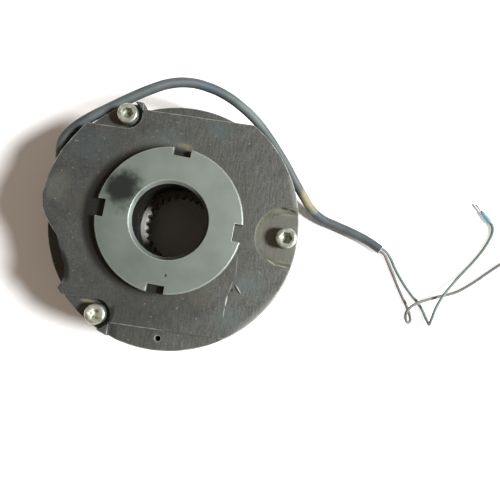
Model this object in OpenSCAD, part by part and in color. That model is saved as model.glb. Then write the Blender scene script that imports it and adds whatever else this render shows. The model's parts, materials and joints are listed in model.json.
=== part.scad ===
// Spring applied disc brake. Springs in a pot magnet press an armature plate on a splined rotor
// with two linings, and the coil pulls the plate back to let the rotor turn.
// The origin is the centre of the flange's underside, and +Z runs up the shaft axis.

/* [Overall] */
// Outer diameter of the flange plate and of the pot
brake_d = 125; // [115:0.5:140]
// Distance of the cap screws from the rim
screw_edge = 6.5; // [6.5:0.1:7.5]

/* [Flange plate] */
// Thickness of the flange plate
flange_t = 8; // [6:0.5:12]
// Hole for the shaft in the flange plate
flange_bore_d = 44; // [40:0.5:50]
// Distance of the mounting holes from the rim
mount_edge = 8; // [7.5:0.25:9]
// Diameter of the mounting holes
mount_hole_d = 6.6; // [5:0.1:7]
// Diameter of the countersinks of the mounting holes
mount_sink_d = 12.6; // [10:0.2:14]

/* [Rotor] */
// Thickness of the rotor over both linings
rotor_t = 9; // [8:0.5:12]
// Thickness of one friction lining
lining_t = 2.5; // [2:0.25:3]
// Gap between the rotor and the hexagons of the sleeve bolts
rotor_gap = 2; // [1:0.25:5]
// Inner diameter of the linings
lining_id = 62; // [50:1:70]
// Outer diameter of the rotor hub
hub_od = 41; // [40:0.5:42]
// Height of the hub above the upper lining
hub_rise = 1.5; // [0.5:0.25:3]
// Number of teeth in the hub
spline_teeth = 27; // [24:1:28]
// Tooth module of the hub
spline_module = 1.25; // [1:0.05:1.25]

/* [Armature] */
// Thickness of the armature plate
armature_t = 6; // [5:0.5:8]
// Distance of the armature plate's rim inside the pot's rim
armature_inset = 1.5; // [0.5:0.25:2.5]
// Bore of the armature plate
armature_bore_d = 44; // [43:0.5:48]
// Gap between the armature plate and the magnet when the brake is set
air_gap = 0.3; // [0.2:0.05:0.6]

/* [Magnet housing] */
// Height of the magnet housing
housing_h = 28.5; // [27.5:0.5:34]
// Height of the full round pot under the cut-out and the cable
pot_h = 16.7; // [14:0.1:17]
// Height of the pot under the flat on the cable side
cable_flat_h = 7.2; // [5:0.1:12]
// Depth of the two flats of the back inside the pot's rim
flat_depth = 10.75; // [10:0.25:13]
// Depth of the ear of the screw pocket on the cable side inside the pot's rim
ear_depth = 7.5; // [6:0.25:8.5]
// Amount by which the casting narrows from the pot to the back
rim_draft = 1; // [0.5:0.1:1.5]
// Depth of the screw seats below the back
seat_depth = 4.8; // [4:0.1:6]
// Radius of the two screw pockets that open beside the nose
pocket_r = 7; // [6.5:0.1:7.5]
// Radius of the wide screw dish at the back's surface
dish_rim_r = 14.8; // [14:0.1:16]
// Radius of the wide screw dish at its floor
dish_floor_r = 12; // [10:0.1:13]
// Depth of the shelf along the other flat
shelf_depth = 3; // [2:0.1:3.8]
// Length of the slope from that shelf down to the screw pocket
shelf_slope = 4; // [2:0.5:6]
// Step from the ring's thread in to the bore of the magnet
bore_step = 2; // [1:0.25:3]
// Diameter of the accessory hole in the shelf
accessory_hole_d = 2.5; // [2:0.1:4]
// Depth of the accessory hole
accessory_hole_depth = 8; // [4:0.5:12]
// Radius of the concave cut-out beside the nose
cutout_r = 12; // [10:0.5:13]

/* [Coil] */
// Width of the coil groove
groove_w = 12; // [8:0.5:13]
// Wall between the coil groove and the sleeve bolts
pole_wall = 4; // [3:0.25:6]
// Depth of the coil groove
groove_depth = 19.7; // [16:0.1:20]
// Wall of the coil bobbin
bobbin_wall = 1.2; // [0.8:0.1:2]
// Thickness of the resin that closes the groove
potting_t = 1.8; // [1:0.1:3]

/* [Adjuster ring] */
// Width of the ring's flange outside the thrust pins
ring_overhang = 3.5; // [1.5:0.25:4.5]
// Wall of the ring's neck between its bore and its thread
neck_wall = 4.5; // [3:0.25:7]
// Thickness of the ring's flange
ring_flange_t = 3.2; // [2.5:0.1:6]
// Gap between the ring's flange and the housing at the set torque
ring_gap = 0.8; // [0.7:0.1:2]
// Wall of the housing between the ring's thread and the spring bores
thread_wall = 2.35; // [1.5:0.05:3]
// Length of the ring's thread below the flange
thread_l = 7.8; // [6:0.1:8]
// Number of the spanner notches
notch_count = 4; // [2:1:6]
// Width of the spanner notches
notch_w = 8.3; // [5:0.1:10]
// Depth of the spanner notches
notch_depth = 4.2; // [2:0.1:5]
// Chamfer at the mouth of the ring's bore
ring_chamfer = 1.5; // [0.5:0.1:2]

/* [Springs and pins] */
// Wall between the spring bores and the coil groove
spring_wall = 3.4; // [2.5:0.1:4]
// Diameter of the thrust pins
pin_d = 7; // [6:0.1:7.5]
// Height of the thrust pins
pin_h = 6.6; // [5:0.1:8]
// Wire diameter of the springs
spring_wire_d = 1.2; // [0.8:0.1:1.4]
// Number of turns of the springs
spring_turns = 6; // [4:1:8]

/* [Sleeve bolts] */
// Thread diameter of the sleeve bolts
sleeve_d = 10; // [9:0.5:10.5]
// Width across flats of the sleeve bolts
sleeve_hex = 12; // [11:0.5:12.5]
// Height of the hexagon of the sleeve bolts
sleeve_hex_h = 5; // [3:0.5:8]
// Length of the sleeve bolts in the housing
sleeve_grip = 12.5; // [8:0.5:16]

/* [Cap screws] */
// Thread diameter of the cap screws
screw_d = 6; // [5:0.5:6]
// Diameter of the screw heads
head_d = 10; // [9:0.5:11]
// Height of the screw heads
head_h = 6; // [5:0.5:8]
// Width across flats of the sockets
socket_w = 5; // [4:0.5:6]
// Depth of the sockets
socket_depth = 3; // [2:0.5:4]
// Distance of the screw tips from the flange's underside
tip_gap = 2; // [1:0.5:4]

/* [Cable] */
// Diameter of the cable jacket
cable_d = 5; // [4:0.1:5]
// Diameter of one wire
wire_d = 1.7; // [1.2:0.1:1.8]
// Diameter of the grommet's neck in the housing
grommet_d = 6.4; // [6:0.1:7]
// Length of the grommet's neck
grommet_neck = 7; // [4:0.5:8]
// Length of the grommet's sleeve outside the housing
grommet_l = 10; // [6:0.5:12]
// Length of a ferrule collar
collar_l = 7; // [5:0.5:9]
// Diameter of a ferrule collar at its mouth
collar_d = 2.7; // [2.5:0.1:2.8]
// Diameter of a ferrule tube
ferrule_d = 1.2; // [0.8:0.1:1.4]
// Length of a ferrule tube outside its collar
ferrule_l = 6; // [4:0.5:10]

/* [Clearances] */
// Radial clearance of the thrust pins in the housing
slide_clearance = 0.1; // [0.05:0.05:0.15]
// Radial clearance of the springs in their bores
spring_clearance = 0.3; // [0.2:0.05:0.4]
// Radial clearance of screws in plain holes
screw_clearance = 0.3; // [0.1:0.1:0.5]
// Radial clearance in a thread
thread_clearance = 0.05; // [0.02:0.01:0.1]
// Clearance of the armature slots beside the sleeve bolts
slot_clearance = 0.5; // [0.3:0.1:0.8]
// Radial clearance of the coil in its groove
coil_clearance = 0.2; // [0.1:0.05:0.3]
// Clearance around a wire and a tube in a collar
collar_clearance = 0.05; // [0.02:0.01:0.1]

/* [Hidden] */
$fn = 96;
screw_angles = [0, 120, 240];
mount_angles = [60, 180, 300];
spring_count = 6;
lead_names = ["green", "brown"];
through = 1;
edge = 0.5;

// Levels along the axis, from the flange upwards
rotor_z = flange_t;
armature_z = rotor_z + rotor_t;
housing_z = armature_z + armature_t + air_gap;
back_z = housing_z + housing_h;
pot_z = housing_z + pot_h;
cable_flat_z = housing_z + cable_flat_h;
seat_z = back_z - seat_depth;
shelf_z = back_z - shelf_depth;
ring_z = back_z + ring_gap;
pin_z = ring_z - pin_h;
groove_z = housing_z + groove_depth;

// Radii and places across the axis
brake_r = brake_d / 2;
screw_r = brake_r - screw_edge;
mount_r = brake_r - mount_edge;
flat_y = brake_r - flat_depth;
ear_y = brake_r - ear_depth;
armature_r = brake_r - armature_inset;
rotor_r = screw_r - sleeve_hex / 2 - rotor_gap;
groove_od = 2 * (screw_r - sleeve_d / 2 - pole_wall);
pin_bore_d = pin_d + 2 * slide_clearance;
groove_id = groove_od - 2 * groove_w;
spring_r = groove_id / 2 - spring_wall - pin_bore_d / 2;
thread_r = spring_r - pin_bore_d / 2 - thread_wall - thread_clearance;
housing_bore_r = thread_r - bore_step;
ring_r = spring_r + pin_d / 2 + ring_overhang;
ring_bore_r = thread_r - neck_wall;
spring_od = pin_bore_d - 2 * spring_clearance;
spring_seat_gap = 0.05;
pin_spigot_h = 3;
pin_spigot_d = spring_od - 2 * spring_wire_d - 2 * spring_clearance;
pocket_end_x = polar(screw_r, screw_angles[1]).x + pocket_r;
thread_floor_gap = 1.5;
mount_sink_h = (mount_sink_d - mount_hole_d) / 2;
spline_tip = 0.2;
spline_root = 1.05;
spline_pitch_r = spline_module * spline_teeth / 2;
spline_tip_r = spline_pitch_r - spline_tip * spline_module;
spline_root_r = spline_pitch_r + spline_root * spline_module;

// Nose of the back over the cable: its rim, its flat, the sector that it fills, and the cut-out beside it
nose_rim_r = brake_r - 0.1;
nose_flat_r = brake_r - 0.5;
nose_flat_a = 147.5;
nose_sector = [105, 200];
nose_lap = 9;
nose_root = 2;
cutout_a = 209;
cutout_center = polar(brake_r + 3.3, cutout_a);
cutout_leave_a = 23;
cutout_shoulders = [
    polar(brake_r - 8.4, 195), polar(brake_r - 4.9, 189), polar(brake_r - 3.1, 185.8), polar(brake_r - 1.2, 181.8)
];
cutout_nose = polar(brake_r - 0.4, 177.5);
accessory_a = 272.5;
notch_a = -2.5;

// Cable exit under the nose, and the recess that the cable lies in
exit_place = polar(brake_r - 4.5, 170);
exit_heading = 98.5;
recess_side = 5.5;
grommet_lip_t = 2;
grommet_lip_w = 0.5;
recess_gap = 0.2;
recess_h = grommet_d + 2 * grommet_lip_w + 2 * recess_gap;
exit_z = pot_z + recess_h / 2;
grommet_mouth_wall = 0.2;
lead_hole_d = 4;
lead_hole_a = 176;

// Routes of the cable and of its two wires on the ground, chosen point by point
cable_route = [
    [-60, 29.4, 43.9], [-59.2, 33.7, 43.8], [-56.8, 37.9, 43.6], [-53.1, 42.2, 43.3], [-47.1, 47.3, 43.1],
    [-38.8, 53.2, 43], [-30.2, 59.2, 42.8], [-21.3, 65.2, 42], [-12, 70.3, 40.5], [-2.5, 73.2, 38], [6, 73.5, 35],
    [15, 71.6, 32], [24, 68, 28.5], [32.3, 63.2, 25], [38.5, 58.2, 22], [45, 51.8, 19], [53.3, 42.8, 15],
    [59.5, 35.3, 11.5], [65.5, 28.5, 8], [71.2, 22.6, 5.2], [78, 18.4, 3.3], [86.8, 15.8, 2.6],
    [96, 13.2, 2.6], [105.2, 10, 2.6], [113.5, 5.9, 2.6]
];
wire_routes = [
    [
        [120.2, 2, 1.6], [123.2, -2.6, 0.9], [126.4, -7.2, 0.9], [130, -11.8, 0.9], [134.2, -16.4, 0.9],
        [138.6, -20.6, 0.9], [142.2, -24.2, 0.9], [144.6, -28, 1.2], [145.6, -31, 2.6], [145.6, -32.2, 4.6],
        [145, -31, 6.8], [145, -27.6, 7.8], [146.6, -23, 7], [149.2, -18.4, 5.8], [152.4, -13.6, 4.4],
        [156.2, -8.6, 2.8], [160.2, -3.4, 1.4], [164.2, 1.8, 0.9], [168, 7, 0.9], [171.2, 12, 0.9],
        [173.8, 16.8, 0.9], [175.8, 21.4, 0.9], [176.8, 25.6, 1], [176.2, 28.8, 1.3], [174.4, 31, 1.4]
    ],
    [
        [118.6, 0.2, 1.3], [121.2, -4.2, 0.9], [124.2, -9.4, 0.9], [127.4, -15, 0.9], [130.8, -20.4, 0.9],
        [133.6, -25, 1.1], [135, -29, 2], [134.8, -32, 4], [133, -32.6, 6], [131.2, -30.8, 7.3],
        [131, -27.4, 7.6], [133.2, -24, 7], [137.4, -21.2, 5.6], [142.4, -19, 4], [147.4, -17, 2.4],
        [152.2, -15.2, 1.2], [157, -13.4, 0.9], [161.6, -11, 0.9], [166, -7.8, 0.9], [170.6, -4, 0.9],
        [175, 0, 0.9], [179.6, 4.2, 0.9], [184, 8, 1.1], [187.4, 10.8, 1.4]
    ]
];
ferrule_headings = [135, 40];
wire_spacing = 1.9;
wire_lead_out = 3;
collar_depth = 4;
collar_taper = 0.6;

// A point at a radius and an angle
function polar(r, a) = [r * cos(a), r * sin(a)];
// A point in the plane lifted to a height
function lifted(p, z) = [p.x, p.y, z];
// Unit vector along v
function unit(v) = v / norm(v);
// Direction of a path at its point i
function heading(path, i) =
    i == 0 ? unit(path[1] - path[0])
    : i == len(path) - 1 ? unit(path[i] - path[i - 1])
    : unit(unit(path[i + 1] - path[i]) + unit(path[i] - path[i - 1]));
// Side vectors that follow the path from point i without twisting
function sides(path, v, i = 0) =
    i == len(path) ? []
    : let (t = heading(path, i), s = unit(v - (v * t) * t)) concat([s], sides(path, s, i + 1));

// Whole routes: from the grommet's mouth, and from the jacket's end into the collars
exit_axis = polar(1, exit_heading);
jacket_path = concat([lifted(exit_place + grommet_l * exit_axis, exit_z)], cable_route);
jacket_end = cable_route[len(cable_route) - 1];
jacket_heading = heading(jacket_path, len(jacket_path) - 1);
jacket_left = unit(cross([0, 0, 1], jacket_heading));
function wire_start(i) = jacket_end + (i == 0 ? 1 : -1) * wire_spacing / 2 * jacket_left;
function wire_end(i) = wire_routes[i][len(wire_routes[i]) - 1];
function ferrule_axis(i) = lifted(polar(1, ferrule_headings[i]), 0);
function wire_path(i) = concat(
    [wire_start(i), wire_start(i) + wire_lead_out * jacket_heading],
    wire_routes[i],
    [wire_end(i) + collar_depth * ferrule_axis(i)]
);

// Tube with flat ends, swept along a path
module tube(path, d, facets) {
    side = sides(path, cross([0, 0, 1], heading(path, 0)));
    rings = len(path);
    points = [
        for (i = [0:rings - 1], k = [0:facets - 1])
            let (a = 360 * k / facets, up = cross(heading(path, i), side[i]))
                path[i] + d / 2 * (cos(a) * side[i] + sin(a) * up)
    ];
    walls = [
        for (i = [0:rings - 2], k = [0:facets - 1])
            let (a = i * facets + k, b = i * facets + (k + 1) % facets)
                [a, a + facets, b + facets, b]
    ];
    first = [for (k = [0:facets - 1]) k];
    last = [for (k = [facets - 1:-1:0]) (rings - 1) * facets + k];
    polyhedron(points, concat(walls, [first, last]), convexity = 8);
}

// Round disc with a hole
module washer(od, id, h) {
    difference() {
        cylinder(d = od, h = h);
        translate([0, 0, -through]) cylinder(d = id, h = h + 2 * through);
    }
}

// Copies of a child around the axis at a radius
module around(r, angles) {
    for (a = angles) rotate(a) translate([r, 0, 0]) children();
}

// Wedge of the plane with its corners at some angles on a radius
module wedge(r, angles) {
    polygon(concat([[0, 0]], [for (a = angles) polar(r, a)]));
}

module flange_plate() {
    color("dimgray") difference() {
        washer(brake_d, flange_bore_d, flange_t);
        around(screw_r, screw_angles) translate([0, 0, -through])
            cylinder(d = screw_d + 2 * thread_clearance, h = flange_t + 2 * through);
        around(mount_r, mount_angles) translate([0, 0, -through])
            cylinder(d = mount_hole_d, h = flange_t + 2 * through);
        around(mount_r, mount_angles) translate([0, 0, flange_t - mount_sink_h])
            cylinder(d1 = mount_hole_d, d2 = mount_sink_d + 2 * through, h = mount_sink_h + through);
    }
}

// Outline of the internal teeth, as the hole that they leave
module spline_hole() {
    step = 360 / spline_teeth;
    polygon([
        for (i = [0:spline_teeth - 1], corner = [[0.12, 1], [0.36, 0], [0.64, 0], [0.88, 1]])
            polar(corner[1] == 1 ? spline_tip_r : spline_root_r, (i + corner[0]) * step)
    ]);
}

module rotor_carrier() {
    disc_z = rotor_z + lining_t;
    hub_z = rotor_z + edge;
    hub_h = rotor_t - edge + hub_rise;
    color("silver") difference() {
        union() {
            translate([0, 0, disc_z]) cylinder(r = rotor_r, h = rotor_t - 2 * lining_t);
            translate([0, 0, hub_z]) cylinder(d = hub_od, h = hub_h);
        }
        translate([0, 0, hub_z - through]) linear_extrude(hub_h + 2 * through) spline_hole();
    }
}

module friction_lining(z) {
    color("saddlebrown") translate([0, 0, z]) washer(2 * rotor_r, lining_id, lining_t);
}

module armature_plate() {
    slot_w = sleeve_d + 2 * slot_clearance;
    color("gray") translate([0, 0, armature_z]) difference() {
        washer(2 * armature_r, armature_bore_d, armature_t);
        around(screw_r, screw_angles) translate([0, 0, -through]) {
            cylinder(d = slot_w, h = armature_t + 2 * through);
            translate([0, -slot_w / 2, 0]) cube([brake_r, slot_w, armature_t + 2 * through]);
        }
    }
}

// Turned blank of the casting: the round pot and the drafted back, without the sector of the nose
module housing_blank() {
    difference() {
        rotate_extrude() polygon([
            [0, housing_z], [brake_r, housing_z], [brake_r, pot_z], [brake_r - rim_draft, back_z], [0, back_z]
        ]);
        translate([0, 0, pot_z]) linear_extrude(housing_h) wedge(2 * brake_r, nose_sector);
    }
}

// Nose over the cable: an upright part of the rim with a flat beside the screw pocket
module housing_nose() {
    middle_a = (nose_sector[0] + nose_sector[1]) / 2;
    translate([0, 0, pot_z - nose_root]) intersection() {
        cylinder(r = nose_rim_r, h = back_z - pot_z + nose_root);
        rotate(nose_flat_a) translate([nose_flat_r - brake_d, -brake_r, -through])
            cube([brake_d, brake_d, housing_h]);
        linear_extrude(housing_h) polygon([
            [0, 0], polar(2 * brake_r, nose_sector[0] - nose_lap), polar(2 * brake_r, middle_a),
            polar(2 * brake_r, nose_sector[1] + nose_lap)
        ]);
    }
}

// Seat beside the nose for a cap screw, open to the rim
module screw_pocket() {
    h = seat_depth + through;
    cylinder(r = pocket_r, h = h);
    translate([-brake_r, -pocket_r, 0]) cube([brake_r, 2 * pocket_r + brake_r, h]);
}

// Wide dish for the third cap screw, open to the rim
module screw_dish() {
    slope = (dish_rim_r - dish_floor_r) / seat_depth;
    top_r = dish_rim_r + slope * through;
    h = seat_depth + through;
    cylinder(r1 = dish_floor_r, r2 = top_r, h = h);
    rotate([90, 0, 90]) linear_extrude(brake_r)
        polygon([[-dish_floor_r, 0], [dish_floor_r, 0], [top_r, h], [-top_r, h]]);
}

// Flat on the cable side, cut down into the pot, with a step out to the ear of the screw pocket
module cable_flat() {
    translate([pocket_end_x, flat_y, cable_flat_z]) cube([brake_d, brake_r, housing_h]);
    translate([-brake_r, ear_y, cable_flat_z]) cube([brake_d, brake_r, housing_h]);
}

// Shelf along the other flat, with a slope down to the screw pocket
module shelf() {
    end_x = pocket_end_x;
    drop = seat_depth - shelf_depth;
    translate([0, -flat_y, shelf_z]) rotate([90, 0, 0]) linear_extrude(brake_r)
        polygon([
            [end_x, -drop], [end_x + shelf_slope, 0], [brake_d, 0],
            [brake_d, housing_h], [end_x, housing_h]
        ]);
}

// Concave cut-out beside the nose, down to the pot
module cutout() {
    leave = cutout_center + polar(cutout_r, cutout_leave_a);
    past_nose = 3 * cutout_nose - 2 * cutout_shoulders[len(cutout_shoulders) - 1];
    translate([0, 0, pot_z]) linear_extrude(housing_h) {
        translate(cutout_center) circle(r = cutout_r);
        polygon(concat(
            [cutout_center, leave], cutout_shoulders, [past_nose, polar(2 * brake_r, cutout_a)]
        ));
    }
}

// Recess under the nose, the grommet's bore and the hole for the leads to the coil
module cable_recess() {
    translate(lifted(exit_place, pot_z)) rotate(exit_heading)
        translate([0, -recess_side, 0]) cube([brake_r, brake_r, recess_h]);
    translate(lifted(exit_place, exit_z)) rotate([0, 90, exit_heading]) translate([0, 0, -grommet_neck])
        cylinder(d = grommet_d, h = grommet_neck + through);
    rotate(lead_hole_a) translate([groove_od / 2 - through, 0, groove_z - lead_hole_d / 2]) rotate([0, 90, 0])
        cylinder(d = lead_hole_d, h = norm(exit_place) - groove_od / 2);
}

module magnet_housing() {
    color([0.24, 0.24, 0.25]) difference() {
        union() {
            housing_blank();
            housing_nose();
        }
        translate([0, 0, housing_z - through]) cylinder(r = housing_bore_r, h = housing_h + 2 * through);
        translate([0, 0, ring_z - thread_l - thread_floor_gap])
            cylinder(r = thread_r + thread_clearance, h = housing_h);
        translate([0, 0, housing_z - through]) washer(groove_od, groove_id, groove_depth + through);
        around(spring_r, [for (i = [1:spring_count]) spring_a(i)]) translate([0, 0, housing_z - through])
            cylinder(d = pin_bore_d, h = housing_h + 2 * through);
        around(screw_r, screw_angles) translate([0, 0, housing_z - through]) {
            cylinder(d = sleeve_d + 2 * thread_clearance, h = sleeve_grip + 2 * through);
            cylinder(d = screw_d + 2 * screw_clearance, h = housing_h + 2 * through);
        }
        translate(lifted(polar(screw_r, screw_angles[1]), seat_z)) screw_pocket();
        translate(lifted(polar(screw_r, screw_angles[2]), seat_z)) mirror([0, 1, 0]) screw_pocket();
        translate(lifted(polar(screw_r, screw_angles[0]), seat_z)) screw_dish();
        cable_flat();
        shelf();
        cutout();
        cable_recess();
        translate(lifted(polar(screw_r, accessory_a), shelf_z - accessory_hole_depth))
            cylinder(d = accessory_hole_d, h = accessory_hole_depth + through);
    }
}

// Space of the coil in the groove, from the resin up to the groove's floor
coil_id = groove_id + 2 * coil_clearance;
coil_od = groove_od - 2 * coil_clearance;
coil_z = housing_z + air_gap + potting_t;
coil_h = groove_z - coil_z;

module coil_bobbin() {
    color("ivory") translate([0, 0, coil_z]) difference() {
        washer(coil_od, coil_id, coil_h);
        translate([0, 0, bobbin_wall])
            washer(coil_od + through, coil_id + 2 * bobbin_wall, coil_h - 2 * bobbin_wall);
    }
}

module coil_winding() {
    color("peru") translate([0, 0, coil_z + bobbin_wall])
        washer(coil_od - 2 * bobbin_wall, coil_id + 2 * bobbin_wall, coil_h - 2 * bobbin_wall);
}

module coil_potting() {
    color("black") translate([0, 0, coil_z - potting_t]) washer(coil_od, coil_id, potting_t);
}

module cable_grommet() {
    color([0.12, 0.12, 0.12]) translate(lifted(exit_place, exit_z)) rotate([0, 90, exit_heading]) {
        translate([0, 0, -grommet_neck]) cylinder(d = grommet_d - 2 * collar_clearance, h = grommet_neck);
        cylinder(d = grommet_d + 2 * grommet_lip_w, h = grommet_lip_t);
        translate([0, 0, grommet_lip_t])
            cylinder(d1 = grommet_d, d2 = cable_d + 2 * grommet_mouth_wall, h = grommet_l - grommet_lip_t);
    }
}

// Ring profile turned about the axis, with spanner notches in the rim
module adjuster_ring() {
    color([0.42, 0.45, 0.45]) translate([0, 0, ring_z]) difference() {
        rotate_extrude() polygon([
            [ring_bore_r, -thread_l], [thread_r - edge, -thread_l], [thread_r, edge - thread_l], [thread_r, 0],
            [ring_r, 0], [ring_r, ring_flange_t - edge], [ring_r - edge, ring_flange_t],
            [ring_bore_r + ring_chamfer, ring_flange_t], [ring_bore_r, ring_flange_t - ring_chamfer]
        ]);
        around(ring_r, [for (k = [1:notch_count]) notch_a + 360 / notch_count * k])
            translate([-notch_depth, -notch_w / 2, -through])
                cube([2 * notch_depth, notch_w, ring_flange_t + 2 * through]);
    }
}

// Angle of spring or pin i, half a step off the screws
function spring_a(i) = 360 / spring_count * (i - 0.5);

module thrust_pin(i) {
    color("slategray") rotate(spring_a(i)) translate([spring_r, 0, pin_z]) {
        cylinder(d = pin_d, h = pin_h);
        translate([0, 0, -pin_spigot_h]) cylinder(d = pin_spigot_d, h = pin_spigot_h);
    }
}

// Coil spring between the armature plate and a thrust pin
module compression_spring(i) {
    steps = 10;
    low = armature_z + armature_t + spring_wire_d / 2 + spring_seat_gap;
    high = pin_z - spring_wire_d / 2 - spring_seat_gap;
    coil_r = (spring_od - spring_wire_d) / 2;
    path = [
        for (k = [0:spring_turns * steps])
            let (rise = k / (spring_turns * steps))
                lifted(polar(coil_r, 360 / steps * k), low + (high - low) * rise)
    ];
    color("lightsteelblue") rotate(spring_a(i)) translate([spring_r, 0, 0]) tube(path, spring_wire_d, 6);
}

module sleeve_bolts() {
    bottom = flange_t;
    top = housing_z + sleeve_grip;
    color("goldenrod") around(screw_r, screw_angles) translate([0, 0, bottom]) difference() {
        union() {
            rotate(30) cylinder(d = sleeve_hex / cos(30), h = sleeve_hex_h, $fn = 6);
            cylinder(d = sleeve_d, h = top - bottom);
        }
        translate([0, 0, -through])
            cylinder(d = screw_d + 2 * screw_clearance, h = top - bottom + 2 * through);
    }
}

module cap_screws() {
    head_r = head_d / 2;
    color("lightgray") around(screw_r, screw_angles) difference() {
        union() {
            translate([0, 0, seat_z]) rotate_extrude() polygon([
                [0, 0], [head_r, 0], [head_r, head_h - edge], [head_r - edge, head_h], [0, head_h]
            ]);
            translate([0, 0, tip_gap]) cylinder(d = screw_d, h = seat_z - tip_gap);
        }
        translate([0, 0, seat_z + head_h - socket_depth])
            cylinder(d = socket_w / cos(30), h = socket_depth + through, $fn = 6);
    }
}

module cable_jacket() {
    color([0.33, 0.36, 0.4]) tube(jacket_path, cable_d, 10);
}

module wire(i) {
    color(i == 0 ? [0.16, 0.38, 0.38] : [0.36, 0.32, 0.31]) tube(wire_path(i), wire_d, 8);
}

// Places a child along the ferrule of wire i, from the mouth of its collar
module along_ferrule(i) {
    translate(wire_end(i)) rotate([0, 90, ferrule_headings[i]]) children();
}

module ferrule_collar(i) {
    color([0.35, 0.65, 0.8]) along_ferrule(i) difference() {
        cylinder(d1 = collar_d, d2 = collar_d - collar_taper, h = collar_l);
        translate([0, 0, -through]) cylinder(d = wire_d + 2 * collar_clearance, h = collar_depth + through);
        cylinder(d = ferrule_d + 2 * collar_clearance, h = collar_l + through);
    }
}

module ferrule_tube(i) {
    color("silver") along_ferrule(i) translate([0, 0, collar_depth])
        cylinder(d = ferrule_d, h = collar_l - collar_depth + ferrule_l);
}

magnet_housing();
coil_bobbin();
coil_winding();
coil_potting();
cable_grommet();
adjuster_ring();
armature_plate();
rotor_carrier();
friction_lining(armature_z - lining_t);  // friction_lining_upper
friction_lining(rotor_z);  // friction_lining_lower
flange_plate();
sleeve_bolts();
cap_screws();
for (i = [1:spring_count]) {
    thrust_pin(i);
    compression_spring(i);
}
cable_jacket();
for (i = [0:1]) {
    wire(i);
    ferrule_collar(i);
    ferrule_tube(i);
}
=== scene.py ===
import json
import math

import bmesh
import bpy
from mathutils import Matrix, Vector

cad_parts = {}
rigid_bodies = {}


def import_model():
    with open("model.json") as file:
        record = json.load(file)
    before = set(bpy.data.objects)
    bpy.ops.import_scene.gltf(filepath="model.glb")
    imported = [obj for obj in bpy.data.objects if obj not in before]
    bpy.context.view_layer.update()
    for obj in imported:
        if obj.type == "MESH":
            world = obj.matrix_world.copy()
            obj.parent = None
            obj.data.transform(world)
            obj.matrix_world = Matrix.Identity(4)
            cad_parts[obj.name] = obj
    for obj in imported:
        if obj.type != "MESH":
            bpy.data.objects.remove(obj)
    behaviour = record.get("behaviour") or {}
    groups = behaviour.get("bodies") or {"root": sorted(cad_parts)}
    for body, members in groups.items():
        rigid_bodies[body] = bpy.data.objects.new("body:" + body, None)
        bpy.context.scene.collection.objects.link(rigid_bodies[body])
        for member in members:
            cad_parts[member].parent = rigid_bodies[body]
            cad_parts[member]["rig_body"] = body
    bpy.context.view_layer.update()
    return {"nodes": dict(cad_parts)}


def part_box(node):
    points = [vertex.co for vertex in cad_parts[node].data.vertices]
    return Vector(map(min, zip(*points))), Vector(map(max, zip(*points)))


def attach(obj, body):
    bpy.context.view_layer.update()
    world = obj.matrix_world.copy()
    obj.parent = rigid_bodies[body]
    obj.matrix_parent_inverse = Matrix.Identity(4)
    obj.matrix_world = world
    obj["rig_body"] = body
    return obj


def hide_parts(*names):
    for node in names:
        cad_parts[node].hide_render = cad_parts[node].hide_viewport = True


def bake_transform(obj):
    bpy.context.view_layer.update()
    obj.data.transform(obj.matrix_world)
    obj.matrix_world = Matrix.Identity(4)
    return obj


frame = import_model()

# A spring applied brake as it lies on a bench after years on a motor: a dark cast magnet,
# a grey adjuster ring, bright cap screws and a short cable with two wires.
nodes = frame["nodes"]

# Flange plate
# A steel disc under the rotor, turned on both faces, drilled for the motor and tapped for the cap screws.
# The lower lining rubs on its upper face. Its edges are broken, and its skin is blackened and thinly oiled.
MM = 0.001
merge_within = 0.001 * MM
sharp_angle = math.radians(25)
smooth_angle = math.radians(40)


def linear(colour):
    """Linear RGBA of an sRGB hex colour."""
    channels = [int(colour[i:i + 2], 16) / 255 for i in (1, 3, 5)]
    return [c / 12.92 if c <= 0.04045 else ((c + 0.055) / 1.055) ** 2.4 for c in channels] + [1.0]


def new_material(name):
    """An empty node material."""
    material = bpy.data.materials.new(name)
    material.use_nodes = True
    material.node_tree.nodes.clear()
    return material


def add(material, kind, inputs=None, **settings):
    """A new shader node with its settings. Each input takes a value or another node's output.

    A Mix node takes its share at input 0. It mixes numbers at 2 and 3, or colours at 6 and 7 to output 2.
    """
    tree = material.node_tree
    node = tree.nodes.new("ShaderNode" + kind)
    for name, value in settings.items():
        setattr(node, name, value)
    for name, value in (inputs or {}).items():
        if isinstance(value, bpy.types.NodeSocket):
            tree.links.new(value, node.inputs[name])
        else:
            node.inputs[name].default_value = value
    return node


def rounded(node, name, edge_width):
    """A copy of a CAD node, its sharp edges rounded by a width in mm. Their faces carry the value edge."""
    shape = bmesh.new()
    shape.from_mesh(nodes[node].data)
    bmesh.ops.remove_doubles(shape, verts=shape.verts, dist=merge_within)
    edge = shape.faces.layers.float.new("edge")
    sharp = [e for e in shape.edges if e.is_convex and e.calc_face_angle() > sharp_angle]
    made = bmesh.ops.bevel(
        shape, geom=sharp, offset=edge_width * MM, offset_type="OFFSET", segments=2, profile=0.5,
        affect="EDGES", material=-1, clamp_overlap=False,
    )
    for face in made["faces"]:
        face[edge] = 1
    return finished(shape, name, node)


def finished(shape, name, *replaced):
    """The object of a modelled shape, smooth over its small angles, in place of some CAD nodes."""
    data = bpy.data.meshes.new(name)
    shape.to_mesh(data)
    shape.free()
    if "custom_normal" in data.attributes:
        data.attributes.remove(data.attributes["custom_normal"])
    data.shade_smooth()
    data.set_sharp_from_angle(angle=smooth_angle)
    piece = bpy.data.objects.new(name, data)
    bpy.context.scene.collection.objects.link(piece)
    piece.modifiers.new("flat_faces_stay_flat", "WEIGHTED_NORMAL").keep_sharp = True
    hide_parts(*replaced)
    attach(piece, nodes[replaced[0]]["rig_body"])
    return piece


def dress(piece, material):
    """Gives a piece its material."""
    piece.data.materials.clear()
    piece.data.materials.append(material)


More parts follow.
